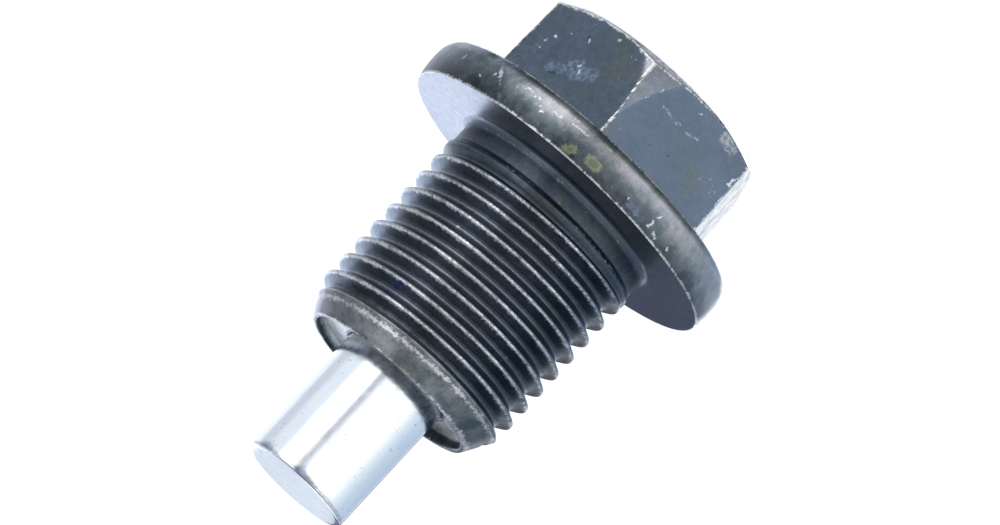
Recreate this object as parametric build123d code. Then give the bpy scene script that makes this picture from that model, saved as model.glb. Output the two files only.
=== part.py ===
from build123d import *
import math
import os

# Magnetic oil drain plug, M16 x 1.5, in millimetres.
# The plug stands on the end of its hexagon head: that end is at Z = 0, the
# thread's axis is Z, and the magnet points up. The hexagon has flats towards
# +X and -X, and a corner towards -Y.

# Hexagon head, forged with a little draft, so it is widest at the flange.
hex_across_flats = 16.9
hex_draft_deg = 1.5
hex_height = 7.1
hex_face_diameter = 16.1
hex_chamfer_deg = 30.0

# One corner of the forging is underfilled: it falls away towards the end.
worn_corner_length = 5.2
worn_corner_depth = 0.9
worn_corner_azimuth = -90.0

# Flange, bevelled on its head side and eased a little on its underside.
flange_diameter = 24.7
flange_thickness = 2.9
flange_bevel_width = 0.3
flange_bevel_height = 0.6
underside_ease_width = 0.15
underside_ease_height = 0.5

# Shank from the sealing face of the flange to the rim at its tip.
shank_length = 16.5
neck_diameter = 15.36
neck_length = 1.75
neck_flare = 0.45

# Right-handed ISO thread of 60 degrees, rolled to the low side of 16 mm.
thread_diameter = 15.7
thread_pitch = 1.5
thread_flank_deg = 30.0
thread_land_length = 0.55
thread_runout_length = 0.9
thread_start_azimuth = -38.4
lead_in_length = 2.2
lead_in_diameter = 13.1

# Shallow cup in the tip, inside a thin rim.
cup_diameter = 12.5
cup_depth = 0.7
cup_draft_deg = 12.0

# Round magnet, glued in a blind bore under the cup.
magnet_diameter = 8.0
magnet_standout = 9.2
magnet_edge_chamfer = 0.25
magnet_glue_gap = 0.03
bore_depth = 7.0

# Heights and thread sizes that follow from those above.
flange_top = hex_height
seal_face = flange_top + flange_thickness
rim_height = seal_face + shank_length
cup_floor = rim_height - cup_depth
bore_floor = cup_floor - bore_depth
magnet_top = rim_height + magnet_standout
thread_bottom = seal_face + neck_length
runout_top = thread_bottom + thread_land_length + thread_runout_length
thread_triangle = thread_pitch / (2 * math.tan(math.radians(thread_flank_deg)))
thread_depth = 5 / 8 * thread_triangle
thread_crest_radius = thread_diameter / 2
thread_root_radius = thread_crest_radius - thread_depth


def turned(*points):
    """Turn a straight-sided half-section, given as radius and height, round the Z axis."""
    section = Polyline(*[(radius, 0, height) for radius, height in points], close=True)
    return revolve(make_face(section), Axis.Z)


def hex_corner_radius(height):
    """Distance from the axis to a corner of the drafted hexagon at a height."""
    narrowing = (flange_top - height) * math.tan(math.radians(hex_draft_deg))
    return (hex_across_flats / 2 - narrowing) / math.cos(math.radians(30))


def drafted_hexagon():
    """Hexagon prism that narrows from the flange down to the end of the head."""
    outline = Plane.XY.offset(flange_top) * RegularPolygon(
        hex_across_flats / 2, 6, major_radius=False, rotation=30
    )
    return extrude(outline, amount=hex_height, dir=(0, 0, -1), taper=hex_draft_deg)


def end_chamfer():
    """Cone that leaves a round face on the end of the head and bevels its corners."""
    face_radius = hex_face_diameter / 2
    slope = math.tan(math.radians(hex_chamfer_deg))
    wide = face_radius + hex_height / slope
    return turned((0, 0), (face_radius, 0), (wide, hex_height), (0, hex_height))


def worn_corner():
    """Wedge with a curved floor that takes away the underfilled corner of the head."""
    upper = (hex_corner_radius(worn_corner_length), worn_corner_length)
    lower = (hex_corner_radius(0) - worn_corner_depth, 0)
    corner_slope = (hex_corner_radius(0) - upper[0], -worn_corner_length)
    clear = upper[0] + worn_corner_depth
    floor = TangentArc([upper, lower], tangent=corner_slope)
    sides = Polyline(lower, (lower[0], -worn_corner_depth), (clear, -worn_corner_depth), (clear, upper[1]), upper)
    section = make_face([floor, sides])
    wedge = extrude(Plane.XZ * section, amount=hex_across_flats / 4, both=True)
    return Rot(0, 0, worn_corner_azimuth) * wedge


def hexagon_head():
    """Forged head: drafted hexagon, bevelled end and one underfilled corner."""
    return (drafted_hexagon() & end_chamfer()) - worn_corner()


def flange():
    """Washer-faced collar, bevelled on the head side and eased on the underside."""
    rim_radius = flange_diameter / 2
    return turned(
        (0, flange_top),
        (rim_radius - flange_bevel_width, flange_top),
        (rim_radius, flange_top + flange_bevel_height),
        (rim_radius, seal_face - underside_ease_height),
        (rim_radius - underside_ease_width, seal_face),
        (0, seal_face),
    )


def neck():
    """Plain neck under the thread, flared into the flange, with a pointed core that reaches into the shank."""
    radius = neck_diameter / 2
    return turned(
        (0, flange_top),
        (radius + neck_flare, flange_top),
        (radius + neck_flare, seal_face),
        (radius, seal_face + neck_flare),
        (radius, thread_bottom),
        (0, runout_top),
    )


def thread_blank():
    """Outline of the thread: a step up from the neck at its foot, and a lead-in at the tip."""
    step = abs(thread_crest_radius - neck_diameter / 2)
    return turned(
        (0, thread_bottom),
        (neck_diameter / 2, thread_bottom),
        (thread_crest_radius, thread_bottom + step),
        (thread_crest_radius, rim_height - lead_in_length),
        (lead_in_diameter / 2, rim_height),
        (0, rim_height),
    )


def thread_groove(foot, turns):
    """Right-handed helical V groove with a flat root, open at a little over the crest radius."""
    half_root = thread_pitch / 8
    mouth_depth = 1.1 * thread_depth
    half_mouth = half_root + mouth_depth * math.tan(math.radians(thread_flank_deg))
    path = Helix(thread_pitch, turns * thread_pitch, thread_root_radius, center=(0, 0, foot))
    section = Polygon(
        (0, -half_root), (mouth_depth, -half_mouth), (mouth_depth, half_mouth), (0, half_root), align=None
    )
    groove = sweep(Plane(path @ 0, x_dir=(1, 0, 0), z_dir=(0, -1, 0)) * section, path, is_frenet=True)
    return Rot(0, 0, thread_start_azimuth) * groove


def runout_core():
    """Cone under the thread's first turn, on which the groove shallows out to a plain land."""
    slope = thread_depth / thread_runout_length
    foot_radius = thread_crest_radius + slope * thread_land_length
    return turned((0, thread_bottom), (foot_radius, thread_bottom), (0, thread_bottom + foot_radius / slope))


def threaded_shank():
    """Grooved rod, longer than the shank at both ends, trimmed to the blank's outline."""
    foot = thread_bottom - 1.5 * thread_pitch
    turns = math.ceil((rim_height - foot) / thread_pitch) + 1
    rod_foot = foot - thread_pitch
    rod_length = (turns + 2) * thread_pitch
    rod = Pos(0, 0, rod_foot) * Cylinder(
        thread_crest_radius, rod_length, align=(Align.CENTER, Align.CENTER, Align.MIN)
    )
    return (rod - thread_groove(foot, turns) + runout_core()) & thread_blank()


def magnet_seat():
    """Cup in the tip and the blind bore under it, as one solid to take away."""
    cup_floor_radius = cup_diameter / 2 - cup_depth * math.tan(math.radians(cup_draft_deg))
    bore_radius = magnet_diameter / 2 + magnet_glue_gap
    return turned(
        (0, bore_floor),
        (bore_radius, bore_floor),
        (bore_radius, cup_floor),
        (cup_floor_radius, cup_floor),
        (cup_diameter / 2, rim_height),
        (cup_diameter / 2, rim_height + cup_depth),
        (0, rim_height + cup_depth),
    )


def plug_body():
    """The whole plug, forged and rolled from one piece of steel."""
    return hexagon_head() + flange() + neck() + threaded_shank() - magnet_seat()


def magnet():
    """Round bar magnet, standing on the floor of its bore, with a small chamfer at both ends."""
    height = magnet_top - bore_floor
    bar = Pos(0, 0, bore_floor) * Cylinder(
        magnet_diameter / 2, height, align=(Align.CENTER, Align.CENTER, Align.MIN)
    )
    return chamfer(bar.edges().filter_by(GeomType.CIRCLE), magnet_edge_chamfer)


os.makedirs("parts", exist_ok=True)
for name, solid in {"plug_body": plug_body(), "magnet": magnet()}.items():
    export_step(solid, f"parts/{name}.step")
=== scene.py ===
import logging
import math
from dataclasses import dataclass, field
from enum import Enum

import bpy
import numpy as np
from mathutils import Matrix, Vector


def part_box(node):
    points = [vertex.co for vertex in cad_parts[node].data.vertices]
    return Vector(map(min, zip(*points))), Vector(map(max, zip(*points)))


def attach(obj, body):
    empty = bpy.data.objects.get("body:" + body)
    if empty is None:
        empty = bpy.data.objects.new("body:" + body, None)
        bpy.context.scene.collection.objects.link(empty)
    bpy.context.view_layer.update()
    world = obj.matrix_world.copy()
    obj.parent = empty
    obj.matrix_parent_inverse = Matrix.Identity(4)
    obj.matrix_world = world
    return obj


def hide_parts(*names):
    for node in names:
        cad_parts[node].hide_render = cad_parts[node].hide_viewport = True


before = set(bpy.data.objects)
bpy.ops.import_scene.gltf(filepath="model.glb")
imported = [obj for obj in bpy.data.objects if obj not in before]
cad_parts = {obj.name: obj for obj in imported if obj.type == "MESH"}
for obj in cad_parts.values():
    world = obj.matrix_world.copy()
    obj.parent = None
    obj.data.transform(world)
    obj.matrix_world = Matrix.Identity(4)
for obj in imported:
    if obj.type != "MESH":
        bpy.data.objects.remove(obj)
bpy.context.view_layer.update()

LOG = logging.getLogger("drain_plug")
MM = 0.001
TURN = 2 * math.pi
Colour = tuple[float, float, float]
Point = tuple[float, float, float]
Numbers = np.ndarray | float


def smooth_min(first: np.ndarray, second: np.ndarray, rounding: float) -> np.ndarray:
    """Take the smaller of two radii, with the edge between them rounded off.

    Args:
        first: One radius, in mm, anywhere on the surface.
        second: The other radius, in mm.
        rounding: How far apart the two are, in mm, where the rounding begins.

    Returns:
        The smaller radius, a little less still near the edge.
    """
    share = np.clip(0.5 + 0.5 * (second - first) / rounding, 0, 1)
    return second * (1 - share) + first * share - rounding * share * (1 - share)


def smooth_max(first: np.ndarray, second: np.ndarray, rounding: float) -> np.ndarray:
    """Take the larger of two radii, with the hollow between them filled a little.

    Args:
        first: One radius, in mm.
        second: The other radius, in mm.
        rounding: How far apart the two are, in mm, where the filling begins.

    Returns:
        The larger radius, a little more still near the hollow.
    """
    return -smooth_min(-first, -second, rounding)


def turn_from(angles: np.ndarray, azimuth: float) -> np.ndarray:
    """Give the signed turn from an azimuth to each angle.

    Args:
        angles: Angles round the axis, in radians.
        azimuth: Where the turn starts, in degrees.

    Returns:
        Turns in radians, from minus pi to pi.
    """
    return (angles - math.radians(azimuth) + math.pi) % TURN - math.pi


def ripple(angles: np.ndarray, height: float, scale: float, seed: int) -> np.ndarray:
    """Make a gentle unevenness of a forged or rolled surface.

    Args:
        angles: Angles round the axis, in radians.
        height: Height in mm.
        scale: About how many swells there are in a turn.
        seed: Which of many such surfaces it is.

    Returns:
        Values from about -1 to 1, which join up after a full turn.
    """
    waves = np.random.default_rng(seed)
    count = 9
    total = np.zeros_like(angles)
    for _ in range(count):
        turns = round(waves.uniform(0.2, 1.0) * scale)
        rise = waves.uniform(-1, 1) * scale / count
        total += np.sin(turns * angles + rise * height + waves.uniform(0, TURN))
    return total / 4


def near(distance: Numbers, reach: Numbers) -> Numbers:
    """Say how near a worn edge a point is.

    Args:
        distance: Distance from the edge in mm, of either sign.
        reach: How far the wear reaches, in mm.

    Returns:
        1 on the edge, falling evenly to 0 at the reach.
    """
    return np.clip(1 - np.abs(distance) / reach, 0, 1)


@dataclass(frozen=True)
class Swell:
    """Value that rises and falls once in a turn round the axis, kept between two limits."""

    azimuth: float
    middle: float
    rise: float
    low: float = -math.inf
    high: float = math.inf

    def at(self, angles: np.ndarray) -> np.ndarray:
        """Give the value at each angle, in radians."""
        value = self.middle + self.rise * np.cos(turn_from(angles, self.azimuth))
        return np.clip(value, self.low, self.high)


class Skin:
    """Closed surface made of rings round the Z axis, all with the same columns."""

    def __init__(self, angles: np.ndarray) -> None:
        """Start an empty surface.

        Args:
            angles: The azimuth of each column, in radians, rising from 0 to a full turn.
        """
        self.angles = angles
        self.points: list[np.ndarray] = []
        self.wear: list[np.ndarray] = []
        self.bare: list[np.ndarray] = []
        self.faces: list[tuple[int, ...]] = []
        self.count = 0
        self.edge: list[int] = []

    def _keep(self, radius: np.ndarray, height: np.ndarray, wear: np.ndarray, bare: np.ndarray) -> list[int]:
        """Add one ring of points.

        Args:
            radius: Radius at each column, in mm.
            height: Height at each column, in mm.
            wear: How near the point is to a worn edge, from 0 up to about 1.5.
            bare: State of the steel: -1 under thick soot, 0 blackened, 1 bare, and up to
            about 2 where it is also roughened; low values also carry painted shade and high ones
            painted highlights. On the magnet it is how smudged it is.

        Returns:
            The numbers of the new points, in the columns' order.
        """
        ring = np.stack([radius * np.cos(self.angles), radius * np.sin(self.angles), height], axis=1)
        self.points.append(ring)
        self.wear.append(wear)
        self.bare.append(bare)
        first = self.count
        self.count += len(self.angles)
        return list(range(first, self.count))

    def _join(self, corners: tuple[int, ...]) -> None:
        """Add a face, without the corners that fall on one another."""
        face = tuple(dict.fromkeys(corners))
        if len(face) > 2:
            self.faces.append(face)

    def ring(self, radius: Numbers, height: Numbers, wear: Numbers = 0.0, bare: Numbers = 0.0) -> None:
        """Add a ring and join it to the last one.

        Args:
            radius: Radius in mm, one for the whole ring or one for each column.
            height: Height in mm, likewise.
            wear: Nearness to a worn edge, likewise.
            bare: State of the steel, likewise.
        """
        columns = np.ones_like(self.angles)
        new = self._keep(radius * columns, height * columns, wear * columns, bare * columns)
        for j in range(len(self.edge)):
            k = (j + 1) % len(new)
            self._join((self.edge[j], self.edge[k], new[k], new[j]))
        self.edge = new

    def _tip(self, height: float) -> int:
        """Add one point on the axis and give its number."""
        self.points.append(np.array([[0.0, 0.0, height]]))
        self.wear.append(np.zeros(1))
        self.bare.append(np.zeros(1))
        self.count += 1
        return self.count - 1

    def start(self, height: float) -> None:
        """Start at a point on the axis, so that the first ring closes round it."""
        self.edge = [self._tip(height)] * len(self.angles)

    def close(self, height: float) -> None:
        """Close the surface with a fan to a point on the axis."""
        tip = self._tip(height)
        for j in range(len(self.edge)):
            self._join((self.edge[j], self.edge[(j + 1) % len(self.edge)], tip))

    def helix(self, rows: np.ndarray, per_turn: int, low: float, high: float, shape: "ThreadShape") -> None:
        """Add rows that climb with a thread, trimmed level at both ends.

        Args:
            rows: Height of every row at every column, in mm, one row of the array each.
            per_turn: How many rows make up one pitch.
            low: Height of the level ring below, in mm, which the last ring lies at.
            high: Height of the level ring above, in mm.
            shape: Gives the radius and the state of the steel at any angle and height.
        """
        foot = self.edge
        level = np.full_like(self.angles, high)
        radius, wear, bare = shape.surface(self.angles, level)
        top = self._keep(radius, level, wear, bare)
        grid = []
        for height in rows:
            radius, wear, bare = shape.surface(self.angles, height)
            own = self._keep(radius, np.clip(height, low, high), wear, bare)
            trimmed = [
                foot[j] if h <= low else top[j] if h >= high else own[j] for j, h in enumerate(height)
            ]
            grid.append(trimmed)
        last = len(self.angles) - 1
        for i in range(len(grid) - 1):
            for j in range(last):
                self._join((grid[i][j], grid[i][j + 1], grid[i + 1][j + 1], grid[i + 1][j]))
            if i + 1 + per_turn < len(grid):
                seam, over = grid[i + per_turn][0], grid[i + 1 + per_turn][0]
                self._join((grid[i][last], seam, over, grid[i + 1][last]))
        self.edge = top

    def build(self, name: str) -> bpy.types.Object:
        """Turn the rings into a smooth-shaded mesh object.

        Args:
            name: The piece's name in the scene.

        Returns:
            The new object, linked into the scene, with the steel's state as point attributes.
        """
        used = sorted({corner for face in self.faces for corner in face})
        place = {old: new for new, old in enumerate(used)}
        points = np.concatenate(self.points)[used] * MM
        mesh = bpy.data.meshes.new(name)
        mesh.from_pydata(points.tolist(), [], [tuple(place[c] for c in face) for face in self.faces])
        for label, values in (("wear", self.wear), ("bare", self.bare)):
            state = mesh.attributes.new(label, "FLOAT", "POINT")
            state.data.foreach_set("value", np.concatenate(values)[used].astype(np.float32))
        mesh.validate()
        mesh.shade_smooth()
        piece = bpy.data.objects.new(name, mesh)
        bpy.context.scene.collection.objects.link(piece)
        return piece


@dataclass(frozen=True)
class HeadSizes:
    """Hexagon head and flange, in mm and degrees, as in the part's source."""

    across_flats: float = 16.9
    draft: float = 1.5
    height: float = 7.1
    face_radius: float = 8.05
    chamfer: float = 30.0
    chamfer_top: float = 1.0
    chamfer_round: float = 0.12
    edge_round: float = 0.16
    facet_round: float = 0.03
    foot_round: float = 0.30
    unevenness: float = 0.012
    worn_azimuth: float = -90.0
    flange_radius: float = 12.35
    flange_thickness: float = 2.9
    flange_crown: float = 0.13
    flange_unevenness: float = 0.02
    bevel_width: float = 0.3
    bevel_height: float = 0.6
    ease_width: float = 0.15
    ease_height: float = 0.5


@dataclass(frozen=True)
class ShankSizes:
    """Neck, thread, tip and bore, in mm and degrees, as in the part's source."""

    neck_radius: float = 7.68
    neck_length: float = 1.75
    neck_flare: float = 0.45
    crest_radius: float = 7.85
    pitch: float = 1.5
    flank: float = 30.0
    land: float = 0.55
    runout: float = 0.9
    start_azimuth: float = -38.4
    lead_in: float = 2.2
    lead_in_radius: float = 6.55
    cup_radius: float = 6.25
    cup_floor_radius: float = 6.10
    cup_depth: float = 0.7
    bore_radius: float = 4.03
    bore_depth: float = 7.0


@dataclass(frozen=True)
class Dent:
    """Shallow knock in the flange's rim or on a crest."""

    azimuth: float
    height: float
    width: float
    depth: float

    def depth_at(self, angles: np.ndarray, height: Numbers, radius: float) -> np.ndarray:
        """Give how deep the knock is at each point.

        Args:
            angles: Angles round the axis, in radians.
            height: Heights in mm.
            radius: Radius of the surface in mm, which turns angles into lengths.

        Returns:
            Depths in mm.
        """
        across = turn_from(angles, self.azimuth) * radius
        away = (across**2 + (height - self.height) ** 2) / self.width**2
        return self.depth * np.exp(-away)


@dataclass(frozen=True)
class ThreadShape:
    """Rolled thread between the neck and the rim, in mm, with its wear, its darkened groove, and painted
    light and painted shade on its two sides.
    """

    sizes: ShankSizes
    low: float
    high: float
    dents: tuple[Dent, ...] = ()
    crest_round: float = 0.05
    core_round: float = 0.03
    tip_fill: float = 0.38
    crest_wear: float = 1.02
    crest_reach: float = 0.21
    foot_shelter: float = 0.28
    # Painted shade: how much the shaded side dulls the crests' wear.
    shaded_side_cover: float = 0.06
    # How much the groove is darkened outside its lighter flank.
    soot: float = 0.62
    roughened: float = 1.6
    # Crest wear, with a painted highlight: stronger towards -68 degrees, the lit side.
    worn: Swell = Swell(azimuth=-68.0, middle=1.0, rise=0.16)
    # Painted shade: the side towards -165 degrees is darker, with duller crests and no lighter flank.
    shaded_side: Swell = Swell(azimuth=-165.0, middle=-0.6, rise=1.6, low=0.0, high=1.0)
    # Painted light: the side towards 5 degrees is lighter, with a less dark groove and lighter plain steel
    # and cone.
    lit_side: Swell = Swell(azimuth=5.0, middle=-1.4, rise=2.2, low=0.0, high=0.8)
    # Painted light: the lead-in cone is lighter towards -68 degrees and darker on the other side.
    cone_lit_side: Swell = Swell(azimuth=-68.0, middle=0.10, rise=0.14)

    @property
    def depth(self) -> float:
        """Depth of the groove in mm."""
        return 5 / 8 * self.sizes.pitch / (2 * math.tan(math.radians(self.sizes.flank)))

    def centre(self, angles: np.ndarray) -> np.ndarray:
        """Height of one turn of the groove's middle at each angle, in mm."""
        foot = self.low - 1.5 * self.sizes.pitch
        return foot + self.sizes.pitch * (angles / TURN - self.sizes.start_azimuth / 360)

    def groove(self, off: np.ndarray) -> np.ndarray:
        """Give the groove's height above its root, with the root rounded from flank to flank.

        Args:
            off: Distance along the axis from the groove's middle, in mm.

        Returns:
            Height above the root in mm.
        """
        slope = math.tan(math.radians(self.sizes.flank))
        bend = self.sizes.pitch / 8 / slope
        bow = bend - np.sqrt(np.maximum(bend**2 - off**2, 0))
        flank = (off - self.sizes.pitch / 8) / slope
        return np.where(off < bend * math.cos(math.radians(self.sizes.flank)), bow, flank)

    def surface(self, angles: np.ndarray, height: np.ndarray) -> tuple[np.ndarray, np.ndarray, np.ndarray]:
        """Give the shank's radius and the state of its steel at any point.

        Args:
            angles: Angles round the axis, in radians.
            height: Heights in mm.

        Returns:
            The radius in mm, the nearness to a worn edge, and how bare the steel is.
        """
        sizes = self.sizes
        z = np.clip(height, self.low, self.high)
        half = sizes.pitch / 2
        side = (z - self.centre(angles) + half) % sizes.pitch - half
        root = sizes.crest_radius - self.depth
        groove = root + self.groove(np.abs(side)) + self.tip_fill * near(z - self.high, sizes.lead_in)
        slope = (sizes.crest_radius - sizes.lead_in_radius) / sizes.lead_in
        cone = sizes.lead_in_radius + (self.high - z) * slope
        step = sizes.neck_radius + (z - self.low)
        blank = smooth_min(np.minimum(step, sizes.crest_radius), cone, self.crest_round)
        core = sizes.crest_radius - (z - self.low - sizes.land) * self.depth / sizes.runout
        rolled = smooth_max(groove, core, self.core_round)
        radius = smooth_min(rolled, blank, self.crest_round)
        wear = self._wear(angles, z)
        for dent in self.dents:
            radius = radius - dent.depth_at(angles, z, sizes.crest_radius) * np.clip(wear, 0, 1)
        bare = self._bare(angles, z, side, rolled < blank)
        fading = 0.25
        # The steel is darker where the groove runs out into the neck.
        run_out_darkening = 0.50
        open_share = np.clip((groove - core) / fading + 1, 0, 1)
        bare = bare * open_share - run_out_darkening * (1 - open_share)
        return np.minimum(radius, sizes.crest_radius), wear, bare

    def _wear(self, angles: np.ndarray, z: np.ndarray) -> np.ndarray:
        """Give the nearness to a worn edge: the crests, the lead-in's lips and the rim, and a painted
        highlight at the foot.

        Args:
            angles: Angles round the axis, in radians.
            z: Heights in mm, between the thread's foot and the rim.

        Returns:
            Wear from 0 to about 1.2, strongest on the side of each crest that faces the tip.
        """
        sizes = self.sizes
        over_land = z - self.low - sizes.land
        above = (z - self.centre(angles)) % sizes.pitch - sizes.pitch / 2
        upper_edge = sizes.pitch / 16
        sheltered = np.clip(1 - over_land / (3 * sizes.pitch), 0, 1)
        # Painted highlight: crest wear is stronger towards -68 degrees.
        most = self.worn.at(angles) * (1 - self.foot_shelter * sheltered)
        # Painted shade: the crests are duller on the shaded side.
        most = most * (1 - self.shaded_side_cover * self.shaded_side.at(angles))
        crest = self.crest_wear * most * near(above - upper_edge, self.crest_reach)
        lip = 0.95 * near(above - 0.12, 0.42)
        wear = np.where(z < self.high - sizes.lead_in, crest, lip)
        wear = wear * np.clip(over_land / 0.3, 0, 1)
        rim = 0.8 * near(z - self.high, 0.16)
        # Painted highlight: a bright line on the step at the thread's foot.
        foot = 0.78 * near(z - self.low - 0.15, 0.17)
        return np.maximum(np.maximum(wear, rim), foot)

    def _bare(self, angles: np.ndarray, z: np.ndarray, side: np.ndarray, grooved: np.ndarray) -> np.ndarray:
        """Give how bare the steel is, in the groove and on the plain steel between its turns, with painted
        light and painted shade.

        Args:
            angles: Angles round the axis, in radians.
            z: Heights in mm, between the thread's foot and the rim.
            side: Signed distance along the axis from the groove's middle, in mm.
            grooved: Whether the point lies in the groove.

        Returns:
            The steel's state, below 0 where the steel is darkened. The flank that faces the tip is painted
            lighter, a painted bounce light, and made rougher.
        """
        sizes = self.sizes
        # Painted bounce light: the flank on the tip's side of the groove's middle is painted lighter and
        # made rougher.
        rubbed_and_painted_light = np.clip((side - 0.03) / 0.10, 0, 1) * np.clip(1.15 - side, 0, 1)
        rubbed_and_painted_light = rubbed_and_painted_light * np.clip((z - self.low - sizes.land - 0.5) / 0.6, 0, 1)
        # Painted shade: no lighter flank on the shaded side.
        rubbed_and_painted_light = rubbed_and_painted_light * (1 - 0.75 * self.shaded_side.at(angles))
        # Painted light on the lit side: a less dark groove, lighter plain steel and a lighter cone.
        lit_side = self.lit_side.at(angles)
        soot = self.soot * (1 - lit_side)
        on_cone = self.cone_lit_side.at(angles) + 0.9 * lit_side
        plain = np.where(z > self.high - sizes.lead_in, on_cone, 0.06 + 0.4 * lit_side)
        return np.where(grooved, rubbed_and_painted_light * (self.roughened + soot) - soot, plain)


@dataclass(frozen=True)
class WornFacet:
    """Curved facet that the underfilled corner of the head leaves, in degrees and mm."""

    azimuth: float
    length: float
    depth: float
    widest: float = 40.0

    def reach(self, angles: np.ndarray, height: float, corner: float, corner_azimuth: float) -> np.ndarray:
        """Give the radius of the facet's surface.

        Args:
            angles: Angles round the axis, in radians.
            height: Height in mm.
            corner: Radius of the hexagon's corner at that height, in mm.
            corner_azimuth: Where that corner is, in degrees.

        Returns:
            Radii in mm, very large where the facet doesn't face.
        """
        below = max(self.length - height, 0.0)
        bow = (self.length**2 + self.depth**2) / (2 * self.depth)
        depth = bow - math.sqrt(bow**2 - below**2)
        support = corner * math.cos(math.radians(self.azimuth - corner_azimuth)) - depth
        turn = turn_from(angles, self.azimuth)
        faced = np.abs(turn) < math.radians(self.widest)
        return np.where(faced, support / np.maximum(np.cos(turn), 0.5), 2 * corner)


@dataclass(frozen=True)
class SoftPatch:
    """Soft patch, in degrees and mm: steel bared by rubbing, a painted highlight or painted shade on the
    flange's edge, or a smudge on the magnet.
    """

    azimuth: float
    height: float
    half_turn: float
    half_height: float
    bare: float

    def share(self, angles: np.ndarray, height: float) -> np.ndarray:
        """Give the patch's strength at each angle, in radians, at a height in mm."""
        across = np.degrees(turn_from(angles, self.azimuth)) / self.half_turn
        return self.bare * np.exp(-(across**2) - ((height - self.height) / self.half_height) ** 2)


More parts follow.
